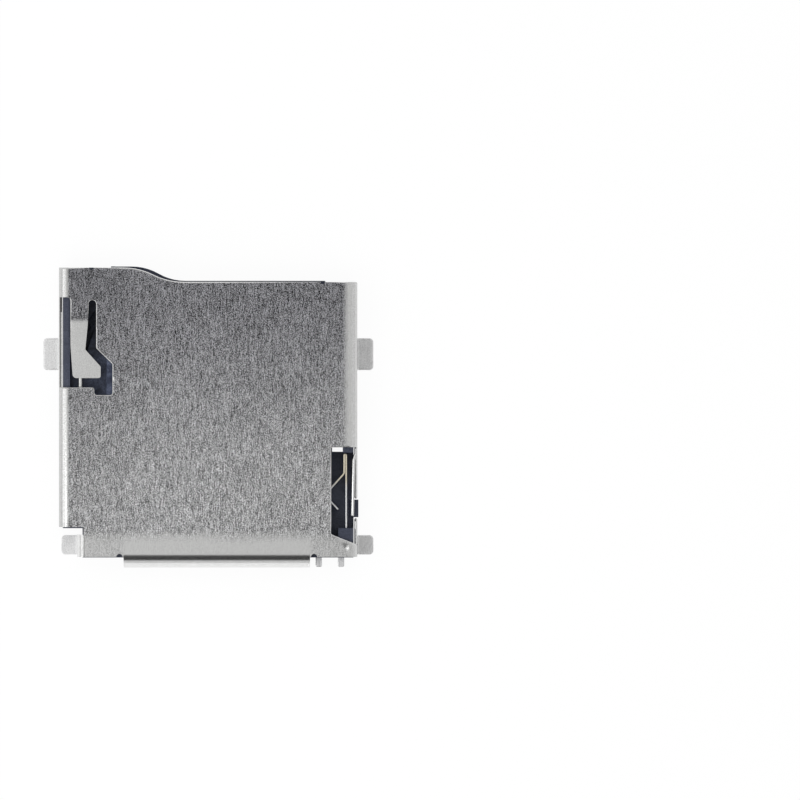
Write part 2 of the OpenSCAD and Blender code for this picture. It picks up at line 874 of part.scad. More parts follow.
// Distance along the spring from its rear end after a number of turns
function coil_rise(turn) =
    let (
        rear = min(turn, close_turns_rear),
        middle = min(max(turn - close_turns_rear, 0), open_turns),
        front = max(turn - close_turns_rear - open_turns, 0)
    )
    (rear + front) * close_pitch + middle * open_pitch;

module eject_spring() {
    steps = 16;
    sides = 6;
    rings = spring_turns * steps;
    wire_radius = spring_wire / 2;
    coil_radius = spring_diameter / 2 - wire_radius;
    points = [
        for (ring = [0 : rings], side = [0 : sides - 1])
            let (
                turn = 360 * ring / steps,
                round_wire = 360 * side / sides,
                reach = coil_radius + wire_radius * cos(round_wire),
                along = coil_rise(ring / steps) + wire_radius * sin(round_wire)
            )
            [reach * cos(turn), along, -reach * sin(turn)]
    ];
    function at(ring, side) = ring * sides + side % sides;
    skin = [
        for (ring = [0 : rings - 1], side = [0 : sides - 1])
            each [
                [at(ring, side), at(ring, side + 1), at(ring + 1, side + 1)],
                [at(ring, side), at(ring + 1, side + 1), at(ring + 1, side)]
            ]
    ];
    ends = [
        [for (side = [sides - 1 : -1 : 0]) at(0, side)],
        [for (side = [0 : sides - 1]) at(rings, side)]
    ];
    color(wire_steel)
        translate([spring_x, spring_rear_y + wire_radius, spring_z])
            polyhedron(points, concat(skin, ends));
}

cover_shell();
base_housing();
contact(1);  // contact_1
contact(2);  // contact_2
contact(3);  // contact_3
contact(4);  // contact_4
contact(5);  // contact_5
contact(6);  // contact_6
contact(7);  // contact_7
contact(8);  // contact_8
detect_contact();
slider();
cam_rod();
eject_spring();
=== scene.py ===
"""Card socket: dresses the packed model with its finishes and sets the stage.

Lengths are in metres, in the frame of the packed model: +Z is up from the board, +Y points out of the mouth.
"""
import json
import math

import bmesh
import bpy
import numpy as np
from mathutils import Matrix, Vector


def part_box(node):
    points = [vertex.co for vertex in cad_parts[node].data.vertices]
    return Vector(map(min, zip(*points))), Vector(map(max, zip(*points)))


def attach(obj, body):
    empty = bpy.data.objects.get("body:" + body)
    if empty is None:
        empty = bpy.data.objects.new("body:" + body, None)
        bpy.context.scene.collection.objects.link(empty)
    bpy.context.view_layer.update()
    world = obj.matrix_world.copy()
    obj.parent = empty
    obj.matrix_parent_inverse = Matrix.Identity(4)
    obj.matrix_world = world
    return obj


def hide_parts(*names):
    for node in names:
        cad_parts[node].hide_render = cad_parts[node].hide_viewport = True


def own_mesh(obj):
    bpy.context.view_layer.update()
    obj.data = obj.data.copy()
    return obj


bl_info = {
    "name": "Card Socket",
    "version": (1, 0, 0),
    "blender": (4, 5, 0),
    "location": "View3D > Sidebar > Card Socket",
    "description": "Dresses a card socket with its finishes and sets its stage",
    "category": "Object",
}

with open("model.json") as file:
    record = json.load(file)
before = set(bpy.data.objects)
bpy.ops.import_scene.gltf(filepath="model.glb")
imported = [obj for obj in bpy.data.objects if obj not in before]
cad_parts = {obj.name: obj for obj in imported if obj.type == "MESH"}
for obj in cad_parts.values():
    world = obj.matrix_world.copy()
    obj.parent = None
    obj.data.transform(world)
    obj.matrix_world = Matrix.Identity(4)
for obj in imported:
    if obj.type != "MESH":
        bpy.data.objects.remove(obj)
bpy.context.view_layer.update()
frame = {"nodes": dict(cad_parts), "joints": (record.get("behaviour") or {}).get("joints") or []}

MM = 0.001
CONTACTS = [f"contact_{number}" for number in range(1, 9)]
COVER_LOW, COVER_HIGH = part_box("cover_shell")
TIP_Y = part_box("contact_1")[1][1]
RIGHT = (1.0, 0.0, 0.0)
FORWARD = (0.0, 1.0, 0.0)
UP = (0.0, 0.0, 1.0)


def mm(*values):
    """Lengths that are given in millimetres."""
    return tuple(value * MM for value in values)


# Properties

def coordinate(name, description, millimetres):
    """Property for a place along an axis, with its default in millimetres."""
    return bpy.props.FloatProperty(
        name=name, description=description, default=millimetres * MM, precision=6, unit="LENGTH")


def length(name, description, millimetres):
    """Property for a length, with its default in millimetres."""
    return bpy.props.FloatProperty(
        name=name, description=description, default=millimetres * MM, min=0.0, precision=6, unit="LENGTH")


def angle(name, description, degrees):
    """Property for an angle, with its default in degrees."""
    return bpy.props.FloatProperty(
        name=name, description=description, default=math.radians(degrees), subtype="ANGLE")


def share(name, description, value):
    """Property for a share between 0 and 1."""
    return bpy.props.FloatProperty(
        name=name, description=description, default=value, min=0.0, max=1.0, subtype="FACTOR")


def level(name, description, value):
    """Property for a strength without a unit."""
    return bpy.props.FloatProperty(name=name, description=description, default=value, min=0.0)


def tint(name, description, colour):
    """Property for a colour."""
    return bpy.props.FloatVectorProperty(
        name=name, description=description, default=colour, min=0.0, max=1.0, size=3, subtype="COLOR")


def count(name, description, value):
    """Property for a whole number."""
    return bpy.props.IntProperty(name=name, description=description, default=value, min=1)


class EdgeSizes(bpy.types.PropertyGroup):
    """Edges of the stamped cover and of the mouldings."""
    cover_edge: length("Cover edge", "Width of the rounding on the cover's cut edges", 0.07)
    base_edge: length("Base edge", "Width of the rounding on the base's edges", 0.02)
    slider_edge: length("Slider edge", "Width of the rounding on the slider's edges", 0.03)
    crease: angle("Crease", "Faces that meet at more than this angle keep a sharp edge between them", 33.0)


class ContactSizes(bpy.types.PropertyGroup):
    """Sprung contacts, measured from the end of the tail along +Y and up from the board."""
    sheet: length("Sheet", "Sheet thickness", 0.15)
    beam: length("Beam width", "Width of the sprung beam", 0.30)
    tail: length("Tail width", "Width of the solder tail", 0.32)
    tail_corner: length("Tail corner", "Corner radius of the tail's end in plan", 0.08)
    edge: length("Edge", "Rounding of the end edges", 0.03)
    bend_run: length("Tail bend", "Distance from the tail's end to its bend", 0.63)
    bend_rise_run: length("Tail rise", "Length in which the tail rises to its seat", 0.10)
    bend_radius: length("Tail bend radius", "Radius of the tail's bends", 0.12)
    seat: length("Seat height", "Height of the sheet's middle in its seat", 0.275)
    root_run: length("Beam root", "Distance from the tail's end to the beam's root", 2.39)
    root_radius: length("Root radius", "Radius of the bend at the beam's root", 0.80)
    crest_run: length("Crest", "Distance from the tail's end to the crest", 4.89)
    crest: length("Crest height", "Height of the corner that the crest rounds", 1.00)
    crest_radius: length("Crest radius", "Radius of the crest", 0.50)
    tip_run: length("Tip", "Distance from the tail's end to the tip", 5.70)
    tip: length("Tip height", "Height of the tip", 0.62)
    dimple: length("Dimple", "Height of the pressed contact point on the crest", 0.035)
    dimple_length: length("Dimple length", "Half length of the contact point", 0.22)
    dimple_width: length("Dimple width", "Half width of the contact point", 0.09)
    gold_back: length("Gold edge", "Distance of the gold's edge behind the crest", 0.56)
    gold_blur: length("Gold blur", "Half width of the gold's soft edge", 0.06)
    # The dark tip that starts and ends at these two distances round the crest is a painted reflection of the
    # cover's dark inside
    painted_reflection_back: length("Wear start", "Distance behind the crest at which the worn gold starts", 0.25)
    painted_reflection_ahead: length("Wear end", "Distance past the crest at which the gold is fully worn", 0.30)


class StripSizes(bpy.types.PropertyGroup):
    """Card switch's strip: its root is measured from the tail's end along +Y, the rest from its root."""
    sheet: length("Sheet", "Sheet thickness", 0.09)
    height: length("Height", "Height of the strip on its edge", 0.50)
    root_run: length("Root", "Distance from the tail's end to the root of the blade", 1.39)
    blade_run: length("Blade root length", "Length over which the blade goes down to its foot", 0.55)
    foot_run: length("Foot length", "Length of the foot", 0.40)
    gap: length("Hairpin gap", "Gap between the two legs of the hairpin", 0.01)
    bow_run: length("Bow start", "Distance from the root to the start of the bow", 3.25)
    bow_out: length("Bow reach", "Reach of the bow to the card side", 0.97)
    bow_corner_run: length("Bow corner", "Distance from the root to the bow's corner", 2.17)
    end_out: length("End reach", "Distance of the free end from the return leg", 0.30)
    end_run: length("End", "Distance from the root to the free end", 1.46)
    bow_radius: length("Bow radius", "Radius of the bow's corners", 0.25)
    gold_run: length("Gold edge", "Distance from the root to the gold's edge", 2.75)
    gold_blur: length("Gold blur", "Half width of the gold's soft edge", 0.35)


class WireSizes(bpy.types.PropertyGroup):
    """Cam rod and coil spring."""
    rod: length("Rod wire", "Diameter of the rod's wire", 0.20)
    rod_elbow: length("Rod elbow", "Radius of the rod's elbows", 0.20)
    rod_leg_step: length("Follower lift", "Height of the follower's end above the pivot's end", 0.30)
    rod_edge: length("Rod edge", "Rounding of the rod's ends", 0.03)
    spring: length("Spring wire", "Diameter of the spring's wire", 0.20)
    close_pitch: length("Close pitch", "Rise of a turn at the spring's ends", 0.30)
    rear_turns: count("Rear turns", "Close turns at the rear end", 2)
    open_turns: count("Open turns", "Open turns between the ends", 7)
    front_turns: count("Front turns", "Close turns at the front end", 1)


class FinishColours(bpy.types.PropertyGroup):
    """Colours of the finishes, some of them painted highlights and painted shade."""
    # The plate's change from darker at the mouth to lighter at the rear is a painted gradient of light
    plate_front: tint("Plate, front", "Grained plate at the card mouth", (0.23, 0.23, 0.243))
    plate_rear: tint("Plate, rear", "Grained plate near the flap", (0.42, 0.42, 0.425))
    # The bent steel's light colour is a painted highlight on the tongue and the sloped strip; the lugs'
    # undersides use it too
    bent_steel: tint("Bent steel", "Smooth steel of the tongue and in front of the flap", (0.77, 0.77, 0.76))
    # The light edge steel is a painted highlight on bends, walls and cut edges
    highlit_edge_steel: tint("Edge steel", "Bends, walls and cut edges", (0.83, 0.83, 0.825))
    lug_tin: tint("Lug tin", "Plated solder lugs", (0.92, 0.92, 0.92))
    inside: tint("Inside", "Inside of the cover over the contacts", (0.45, 0.45, 0.45))
    # The dark inside colour is painted shade over the slider's bay and inside the flap
    inside_painted_shade: tint("Inside, dark", "Inside over the slider and in the flap", (0.05, 0.05, 0.052))
    base: tint("Base", "Base moulding", (0.054, 0.062, 0.094))
    # The base's underside colour is a lighter copy of its colour: painted light for the weaker light from
    # below
    base_under_painted_light: tint("Base, underside", "Underside of the base moulding", (0.060, 0.076, 0.130))
    base_dark: tint("Base, dark", "Darker mottling of the base moulding", (0.043, 0.050, 0.078))
    slider: tint("Slider", "Slider moulding", (0.018, 0.022, 0.038))
    slider_mark: tint("Slider flow marks", "Flow marks of the slider moulding", (0.085, 0.100, 0.150))
    # The slider's underside colour is a much lighter copy of its colour: painted light in its slot
    slider_under_painted_light: tint("Slider, underside", "Underside of the slider moulding", (0.075, 0.090, 0.150))
    tin: tint("Tin", "Tinned tails", (0.88, 0.88, 0.885))
    # The beams' tin is darker than the tails' as painted shade inside the socket
    beam_tin: tint("Beam tin", "Dull tin on the contact beams", (0.58, 0.565, 0.565))
    gold: tint("Gold", "Gold on the contact points", (0.40, 0.33, 0.15))
    # The darker gold at the tips is a painted reflection of the cover's dark inside
    gold_painted_reflection: tint("Gold, worn", "Darker gold at the tips", (0.05, 0.042, 0.025))
    strip_gold: tint("Strip gold", "Thin gold on the switch strip", (0.82, 0.75, 0.60))
    # The rod and the spring are the same drawn steel: the rod's near-white is partly painted light, and the
    # spring's dark colour is painted shade
    rod: tint("Rod", "Bright drawn wire of the rod", (0.95, 0.95, 0.93))
    spring: tint("Spring", "Dark drawn wire of the spring", (0.17, 0.17, 0.175))


class StageValues(bpy.types.PropertyGroup):
    """Camera, lamps and floor."""
    view_x: coordinate("View X", "X of the point below the camera", 9.49)
    view_y: coordinate("View Y", "Y of the point below the camera", 0.84)
    view_width: length("View width", "Width that the picture takes in", 39.55)
    view_height: length("Camera height", "Height of the camera above the cover", 1000.0)
    floor_size: length("Floor size", "Side of the square floor", 4000.0)
    floor_drop: length("Floor drop", "Distance of the floor below the board plane", 0.002)
    floor_grey: share("Floor grey", "Share of light that the floor's shadowed part throws back", 0.93)
    floor_white: share("Floor white", "Share of even white in the floor as the camera sees it", 0.90)
    floor_glow: level("Floor level", "Level of the floor's even white", 1.035)
    floor_reach: length("Floor reach", "Rays that start nearer than this pass the floor", 0.1)
    sky: level("Sky", "Strength of the even light from all round", 0.65)
    lamp_height: length("Lamp height", "Height of the soft lamp above the board", 50.0)
    lamp_aside: length("Lamp aside", "Distance of the soft lamp towards the slider side", 26.0)
    lamp_behind: length("Lamp behind", "Distance of the soft lamp towards the rear", 16.0)
    lamp_size: length("Lamp size", "Side of the soft lamp", 24.0)
    lamp_power: level("Lamp power", "Power of the soft lamp in watts", 0.0035)
    low_lamp_height: length("Low lamp height", "Height of the low lamp above the board", 50.0)
    low_lamp_aside: length("Low lamp aside", "Distance of the low lamp on the slider side", 62.0)
    low_lamp_size: length("Low lamp size", "Side of the low lamp", 60.0)
    low_lamp_power: level("Low lamp power", "Power of the low lamp in watts", 0.0060)
    flag_distance: length("Flag distance", "Distance of the dark card behind the flap", 90.0)
    flag_width: length("Flag width", "Width of the dark card", 90.0)
    flag_low: length("Flag foot", "Height of the dark card's lower edge", 40.0)
    flag_high: length("Flag top", "Height of the dark card's upper edge", 190.0)
    flag_grey: share("Flag grey", "Share of light that the dark card throws back", 0.02)


# Shapes

# Ranges of X, Y and Z in which edges stay tight, because a rounding there would run into what lies beside
# it. FAR lies past every piece, in millimetres.
FAR = 100.0
ANYWHERE = mm(-FAR, FAR)
COVER_TIGHT = {
    "flap": (ANYWHERE, (-FAR * MM, COVER_LOW[1] + 0.85 * MM), ANYWHERE),
    "tongue": (mm(-FAR, -5.25), mm(1.85, 4.85), mm(1.5, 1.849)),
    "left nick": (mm(-5.90, -5.64), mm(7.2, FAR), ANYWHERE),
    "right nick": (mm(5.54, 5.80), mm(6.5, FAR), ANYWHERE),
    "wall beside the tongue": (mm(-FAR, -7.0), ANYWHERE, mm(1.2, 1.6)),
    "cut corner": (mm(-FAR, -5.9), mm(-6.0, -5.3), ANYWHERE),
    "end of the wall's slot": (mm(-FAR, -6.85), mm(5.82, 6.02), ANYWHERE),
}
BASE_TIGHT = {
    "block behind the switch": (mm(7.1, FAR), mm(-6.6, -6.1), mm(1.3, FAR)),
}


def corner_arc(before, corner, after, radius, steps=10):
    """Arc that rounds one corner of a plane path: centre + radius (cos a, sin a), tangent to both sides."""
    into = (corner - before) / np.linalg.norm(corner - before)
    onward = (after - corner) / np.linalg.norm(after - corner)
    turn = math.atan2(into[0] * onward[1] - into[1] * onward[0], into @ onward)
    start = corner - into * radius * math.tan(abs(turn) / 2)
    centre = start + math.copysign(radius, turn) * np.array([-into[1], into[0]])
    first = math.atan2(*(start - centre)[::-1])
    angles = first + turn * np.linspace(0.0, 1.0, steps)
    return centre + radius * np.column_stack([np.cos(angles), np.sin(angles)])


def rounded_path(corners, radii):
    """Plane path through the corners, with an arc of the given radius at each inner one."""
    corners = np.asarray(corners, float)
    arcs = [corner_arc(*corners[i:i + 3], radius) for i, radius in enumerate(radii)]
    return np.vstack([corners[:1], *arcs, corners[-1:]])


def lift(path, columns, fixed):
    """Plane path as points in space: its two columns go to the given axes, the third axis is fixed."""
    points = np.empty((len(path), 3))
    points[:, list(columns)] = path
    points[:, 3 - sum(columns)] = fixed
    return points


def follow(path, end, spacing):
    """Distances, points and unit directions along a path, in close steps near its ends, else in even ones."""
    shortest = 1e-9
    close_shares = np.array([0.0, 0.12, 0.4, 1.0])
    fewest = 4
    steps = np.linalg.norm(np.diff(path, axis=0), axis=1)
    keep = np.concatenate([[True], steps > shortest])
    path = path[keep]
    reached = np.concatenate([[0.0], np.cumsum(steps[keep[1:]])])
    total = reached[-1]
    close = end * close_shares
    middle = np.linspace(end, total - end, max(int((total - 2 * end) / spacing), fewest))
    distances = np.concatenate([close, middle[1:-1], total - close[::-1]])
    points = np.column_stack([np.interp(distances, reached, path[:, axis]) for axis in range(3)])
    ahead = np.gradient(points, distances, axis=0)
    return distances, points, ahead / np.linalg.norm(ahead, axis=1, keepdims=True)


def draw_in(distances, radius):
    """How far a section draws in near its ends: r - sqrt(r^2 - (r - d)^2), d being the way to the end."""
    nearest = np.minimum(distances, distances[-1] - distances)
    short = np.clip(radius - nearest, 0.0, radius)
    return radius - np.sqrt(radius ** 2 - short ** 2)


def strip_rings(points, ahead, across, half_width, half_sheet, power=8.0, sides=24):
    """Rings of a strip: superellipses |u|^p + |v|^p = 1, u along `across`, v square to it and to the path."""
    around = 2 * math.pi * (np.arange(sides) + 0.5) / sides
    u = np.sign(np.cos(around)) * np.abs(np.cos(around)) ** (2 / power)
    v = np.sign(np.sin(around)) * np.abs(np.sin(around)) ** (2 / power)
    across = np.asarray(across, float)
    square = np.cross(ahead, across)
    wide = half_width[:, None] * u
    thick = half_sheet[:, None] * v
    return points[:, None, :] + wide[..., None] * across + thick[..., None] * square[:, None, :]


def skin(rings):
    """Points and faces of the closed skin over a row of rings, with flat ends and faces turned outward."""
    rows, columns = rings.shape[:2]
    index = np.arange(rows * columns).reshape(rows, columns)
    beside = np.roll(index, -1, axis=1)
    quads = np.stack([index[:-1], beside[:-1], beside[1:], index[1:]], axis=-1).reshape(-1, 4)
    points = rings.reshape(-1, 3)
    centred = points - points.mean(axis=0)
    volume = 0.0
    for corners in ([0, 1, 2], [0, 2, 3]):
        a, b, c = (centred[quads[:, k]] for k in corners)
        volume += np.einsum("ij,ij->", a, np.cross(b, c))
    faces = quads.tolist() + [index[0, ::-1].tolist(), index[-1].tolist()]
    if volume < 0:
        faces = [face[::-1] for face in faces]
    return points, faces


def flat_strip(path, across, width, sheet, edge, plan=0.0, spacing=0.05 * MM):
    """Skin of a strip of one width and sheet along a path; `plan` rounds the corners of its ends in plan."""
    distances, points, ahead = follow(path, max(edge, plan), spacing)
    half_width = width / 2 - draw_in(distances, max(edge, plan))
    half_sheet = sheet / 2 - draw_in(distances, edge)
    return skin(strip_rings(points, ahead, across, half_width, half_sheet))


def tail_corners(sizes, rear_y, half_sheet):
    """Corners of a solder tail in the Y-Z plane: flat on the board, then up to its seat."""
    bend_y = rear_y + sizes.bend_run
    return [[rear_y, half_sheet], [bend_y, half_sheet], [bend_y + sizes.bend_rise_run, sizes.seat]]


def add_object(name, data):
    """Object with the given data at the origin of the scene."""
    added = bpy.data.objects.new(name, data)
    bpy.context.scene.collection.objects.link(added)
    return added


def new_piece(name, shells, crease=math.radians(50.0)):
    """Piece made of closed skins, shaded smooth but for its creases."""
    points = np.vstack([shell[0] for shell in shells])
    faces = []
    start = 0
    for shell_points, shell_faces in shells:
        faces += [[corner + start for corner in face] for face in shell_faces]
        start += len(shell_points)
    mesh = bpy.data.meshes.new(name)
    mesh.from_pydata(points.tolist(), [], faces)
    mesh.update()
    mesh.shade_smooth()
    mesh.set_sharp_from_angle(angle=crease)
    return add_object(name, mesh)


def welded_copy(node, name, crease):
    """Copy of a CAD node with its loose triangles joined and its flat faces made whole."""
    weld = 0.0002 * MM
    flat = math.radians(0.4)
    source = frame["nodes"][node].data
    places = np.empty(len(source.vertices) * 3, np.float32)
    source.vertices.foreach_get("co", places)
    places = places.reshape(-1, 3).astype(float)
    corners = np.empty(len(source.loops), np.int32)
    source.loops.foreach_get("vertex_index", corners)
    joined, inverse = np.unique(np.round(places / weld).astype(np.int64), axis=0, return_inverse=True)
    triangles = inverse.reshape(-1)[corners].reshape(-1, 3)
    whole = np.all(triangles != np.roll(triangles, 1, axis=1), axis=1)
    mesh = bpy.data.meshes.new(name)
    mesh.from_pydata((joined * weld).tolist(), [], triangles[whole].tolist())
    shape = bmesh.new()
    shape.from_mesh(mesh)
    bmesh.ops.dissolve_limit(
        shape, angle_limit=flat, use_dissolve_boundaries=False, verts=shape.verts, edges=shape.edges)
    shape.to_mesh(mesh)
    shape.free()
    mesh.shade_smooth()
    mesh.set_sharp_from_angle(angle=crease)
    return add_object(name, mesh)


def round_edges(piece, width, tight):
    """Small rounding on a piece's sharp edges, apart from those whose middles lie in a tight range."""
    mesh = piece.data
    sharp = np.array([edge.use_edge_sharp for edge in mesh.edges])
    places = np.empty(len(mesh.vertices) * 3, np.float32)
    mesh.vertices.foreach_get("co", places)
    ends = np.empty(len(mesh.edges) * 2, np.int32)
    mesh.edges.foreach_get("vertices", ends)
    middles = places.reshape(-1, 3)[ends.reshape(-1, 2)].mean(axis=1)
    for ranges in tight.values():
        low, high = np.transpose(ranges)
        sharp &= ~np.all((middles > low) & (middles < high), axis=1)
    weights = mesh.attributes.new("bevel_weight_edge", "FLOAT", "EDGE")
    weights.data.foreach_set("value", sharp.astype(np.float32))
    rounding = piece.modifiers.new("edge rounding", "BEVEL")
    rounding.width = width
    rounding.segments = 3
    rounding.limit_method = "WEIGHT"
    rounding.use_clamp_overlap = False
    joining = piece.modifiers.new("joined points", "WELD")
    joining.merge_threshold = 0.0001 * MM
    shading = piece.modifiers.new("even shading", "WEIGHTED_NORMAL")
    shading.keep_sharp = True
    shading.weight = 80


def settle(piece, material, body, slot, *nodes):
    """Gives a piece its finish and its body, and hides the CAD nodes that it stands for; its slot is not
    used.
    """
    piece.data.materials.clear()
    piece.data.materials.append(material)
    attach(piece, body)
    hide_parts(*nodes)


# Finishes, some with painted light and shade

NOISE_SPAN = (0.3, 0.7)
GRAIN_SPAN = (0.40, 0.60)


def connect(socket, value):
    """Links a signal to a socket, or sets the socket's own value."""
    if isinstance(value, Signal):
        value.tree.links.new(value.socket, socket)
    else:
        socket.default_value = value


class Signal:
    """A node's output to reckon with: sums, differences, products and powers add Math nodes to its tree."""

    def __init__(self, socket):
        self.socket = socket
        self.tree = socket.id_data

    def maths(self, operation, first, second=0.0):
        """Result of a Math node."""
        node = self.tree.nodes.new("ShaderNodeMath")
        node.operation = operation
        connect(node.inputs[0], first)
        connect(node.inputs[1], second)
        return Signal(node.outputs[0])

    def __add__(self, other):
        return self.maths("ADD", self, other)

    def __sub__(self, other):
        return self.maths("SUBTRACT", self, other)

    def __rsub__(self, other):
        return self.maths("SUBTRACT", other, self)

    def __mul__(self, other):
        return self.maths("MULTIPLY", self, other)

    def __pow__(self, power):
        return self.maths("POWER", self, power)

    def __abs__(self):
        return self.maths("ABSOLUTE", self)

    def over(self, start, end, low=0.0, high=1.0):
        """Smooth change from low to high while the signal goes from start to end."""
        node = self.tree.nodes.new("ShaderNodeMapRange")
        node.interpolation_type = "SMOOTHSTEP"
        numbers = {"Value": self, "From Min": start, "From Max": end, "To Min": low, "To Max": high}
        for name, number in numbers.items():
            connect(node.inputs[name], number)
        return Signal(node.outputs["Result"])

    def fade(self, none, full):
        """Smooth change from none to full while the signal goes from 0 to 1."""
        return self.over(0.0, 1.0, none, full)


def greatest(signal, *others):
    """Greatest of a signal and other signals or numbers."""
    for other in others:
        signal = signal.maths("MAXIMUM", signal, other)
    return signal


def blend(part, first, second):
    """Colour that goes from the first to the second as part goes from 0 to 1."""
    node = part.tree.nodes.new("ShaderNodeMix")
    node.data_type = "RGBA"
    connect(node.inputs["Factor"], part)
    for socket, colour in ((node.inputs[6], first), (node.inputs[7], second)):
        connect(socket, colour if isinstance(colour, Signal) else (*colour, 1.0))
    return Signal(node.outputs[2])


def scaled(colour, gain):
    """Colour times a signal."""
    node = gain.tree.nodes.new("ShaderNodeVectorMath")
    node.operation = "SCALE"
    connect(node.inputs[0], colour)
    connect(node.inputs["Scale"], gain)
    return Signal(node.outputs[0])


def parts_of(vector):
    """X, Y and Z of a vector."""
    node = vector.tree.nodes.new("ShaderNodeSeparateXYZ")
    connect(node.inputs[0], vector)
    return [Signal(part) for part in node.outputs]


def place_of(tree):
    """Object coordinates as a vector and as X, Y and Z."""
    place = Signal(tree.nodes.new("ShaderNodeTexCoord").outputs["Object"])
    return place, *parts_of(place)


def upward(tree):
    """Z of the surface normal: 1 on faces that look up, -1 on faces that look down."""
    return parts_of(Signal(tree.nodes.new("ShaderNodeNewGeometry").outputs["Normal"]))[2]


def noise(place, per_metre, detail=2.0, rough=0.5, twist=0.0):
    """Noise with its own number of features per metre along X, Y and Z."""
    stretch = place.tree.nodes.new("ShaderNodeVectorMath")
    stretch.operation = "MULTIPLY"
    connect(stretch.inputs[0], place)
    stretch.inputs[1].default_value = per_metre
    texture = place.tree.nodes.new("ShaderNodeTexNoise")
    texture.inputs["Scale"].default_value = 1.0
    texture.inputs["Detail"].default_value = detail
    texture.inputs["Roughness"].default_value = rough
    texture.inputs["Distortion"].default_value = twist
    connect(texture.inputs["Vector"], Signal(stretch.outputs[0]))
    return Signal(texture.outputs[0])


def bare_material(name):
    """Material with nothing but its output; returns it with its node tree and that output."""
    material = bpy.data.materials.new(name)
    material.use_nodes = True
    tree = material.node_tree
    tree.nodes.clear()
    return material, tree, tree.nodes.new("ShaderNodeOutputMaterial")


def new_finish(name, metallic=0.0):
    """Material with a Principled surface; returns it with its node tree and that surface."""
    material, tree, output = bare_material(name)
    surface = tree.nodes.new("ShaderNodeBsdfPrincipled")
    surface.inputs["Metallic"].default_value = metallic
    tree.links.new(surface.outputs["BSDF"], output.inputs["Surface"])
    return material, tree, surface


def relief(surface, height, strength, depth):
    """Bump on a surface."""
    bump = height.tree.nodes.new("ShaderNodeBump")
    bump.inputs["Strength"].default_value = strength
    bump.inputs["Distance"].default_value = depth
    connect(bump.inputs["Height"], height)
    connect(surface.inputs["Normal"], Signal(bump.outputs["Normal"]))


def plate_grain(place):
    """Grain of the plate: streaks, specks and specks drawn out along X, with their shares."""
    streaks = noise(place, (30000.0, 2800.0, 30000.0), detail=1.0)
    specks = noise(place, (25000.0, 29000.0, 25000.0), rough=0.6)
    cross_specks = noise(place, (17000.0, 34000.0, 34000.0), rough=0.6)
    streak_share, speck_share, cross_share = 0.17, 0.48, 0.35
    return streaks * streak_share + specks * speck_share + cross_specks * cross_share


def plate_colour(colours, x, y, grain, mottle):
    """Colour of the flat plate: darker and more strongly grained at the mouth, the darkening a painted
    gradient of light that grows lighter towards the rear; darker on the slider side.
    """
    mouth_to_rear = mm(6.8, -4.5)
    slider_side, slider_shade = mm(-2.0, -6.5), 0.84
    strong_grain, grain_power = (0.425, 0.575), 1.5
    swing, middle, mouth_swing, darkest = 2.1, 0.82, 1.18, 0.04
    clouds = (0.95, 1.05)
    # Painted light: the plate grows lighter towards the rear
    rearward = y.over(*mouth_to_rear)
    plate = blend(rearward, colours.plate_front, colours.plate_rear)
    contrast = grain.over(*strong_grain) ** grain_power * swing - middle
    contrast = greatest(contrast * rearward.fade(mouth_swing, 1.0) + 1.0, darkest)
    shade = mottle.over(*NOISE_SPAN, *clouds) * x.over(*slider_side, 1.0, slider_shade)
    return scaled(plate, contrast * shade)


def smooth_and_highlit_zones(x, y, grain, mottle):
    """Share of smooth steel, which gets a painted highlight: on the pressed tongue, in front of the flap and
    beside the side bends.
    """
    tongue_side, tongue_root, tongue_tip = mm(-5.69, -5.75), mm(4.90, 4.62), mm(1.75, 1.85)
    slant_y, slant = 3.35 * MM, 0.75
    flap_x, flap_end, flap_strip = 0.43 * MM, mm(4.45, 4.85), mm(-5.50, -6.30)
    strip_wander, strip_beside_flap = 0.6 * MM, 0.8
    left_bend_x, left_bend_share, right_bend_x = mm(-6.85, -6.98), 0.8, mm(6.62, 7.00)
    rear_sides_y, grain_left, grain_left_at_sides = mm(-5.0, -5.5), 0.14, 0.42
    across = x - greatest(slant_y - y, 0.0) * slant
    tongue = across.over(*tongue_side) * y.over(*tongue_root) * y.over(*tongue_tip)
    beyond_flap = abs(x - flap_x).over(*flap_end)
    strip = (y + (mottle - 0.5) * strip_wander).over(*flap_strip) * beyond_flap.fade(1.0, strip_beside_flap)
    # The light bands on both side bends are painted highlights
    left_bend = x.over(*left_bend_x, 0.0, left_bend_share)
    smooth = greatest(tongue, strip, left_bend, x.over(*right_bend_x))
    rear_sides = beyond_flap * y.over(*rear_sides_y)
    dark_grain = grain.over(*reversed(GRAIN_SPAN))
    return smooth * (1.0 - dark_grain * rear_sides.fade(grain_left, grain_left_at_sides))


def sheared_wall(x, y, z):
    """Shade of the wall's cut edge beside the tongue: a dark break line along it, and a dark front end."""
    cut_foot, cut_top, cut_side = mm(1.24, 1.27), mm(1.36, 1.33), mm(-7.10, -7.15)
    line_x, line_edge = -7.31 * MM, mm(0.035, 0.015)
    end_side, end_front = mm(-7.33, -7.30), mm(5.15, 5.22)
    darkest = 0.15
    on_cut = z.over(*cut_foot) * z.over(*cut_top) * x.over(*cut_side)
    line = abs(x - line_x).over(*line_edge)
    front_end = x.over(*end_side) * y.over(*end_front)
    return (on_cut * greatest(line, front_end)).fade(1.0, darkest)


def highlit_edge_colour(colours, x, y, z, lying, grain):
    """Colour of bends, walls and cut edges, light as a painted highlight: darker on the steep side of a bend
    as painted shade, and darker on the sheared wall.
    """
    bend_x = mm(6.85, 6.95)
    steepness, steep_shade = (0.88, 0.60), 0.72
    grain_shade = (0.82, 1.14)
    # Painted shade on the steep outer half of each side bend
    steep = abs(x).over(*bend_x) * lying.over(*steepness)
    shade = steep.fade(1.0, steep_shade) * sheared_wall(x, y, z)
    return scaled(colours.highlit_edge_steel, shade * grain.over(*GRAIN_SPAN, *grain_shade))


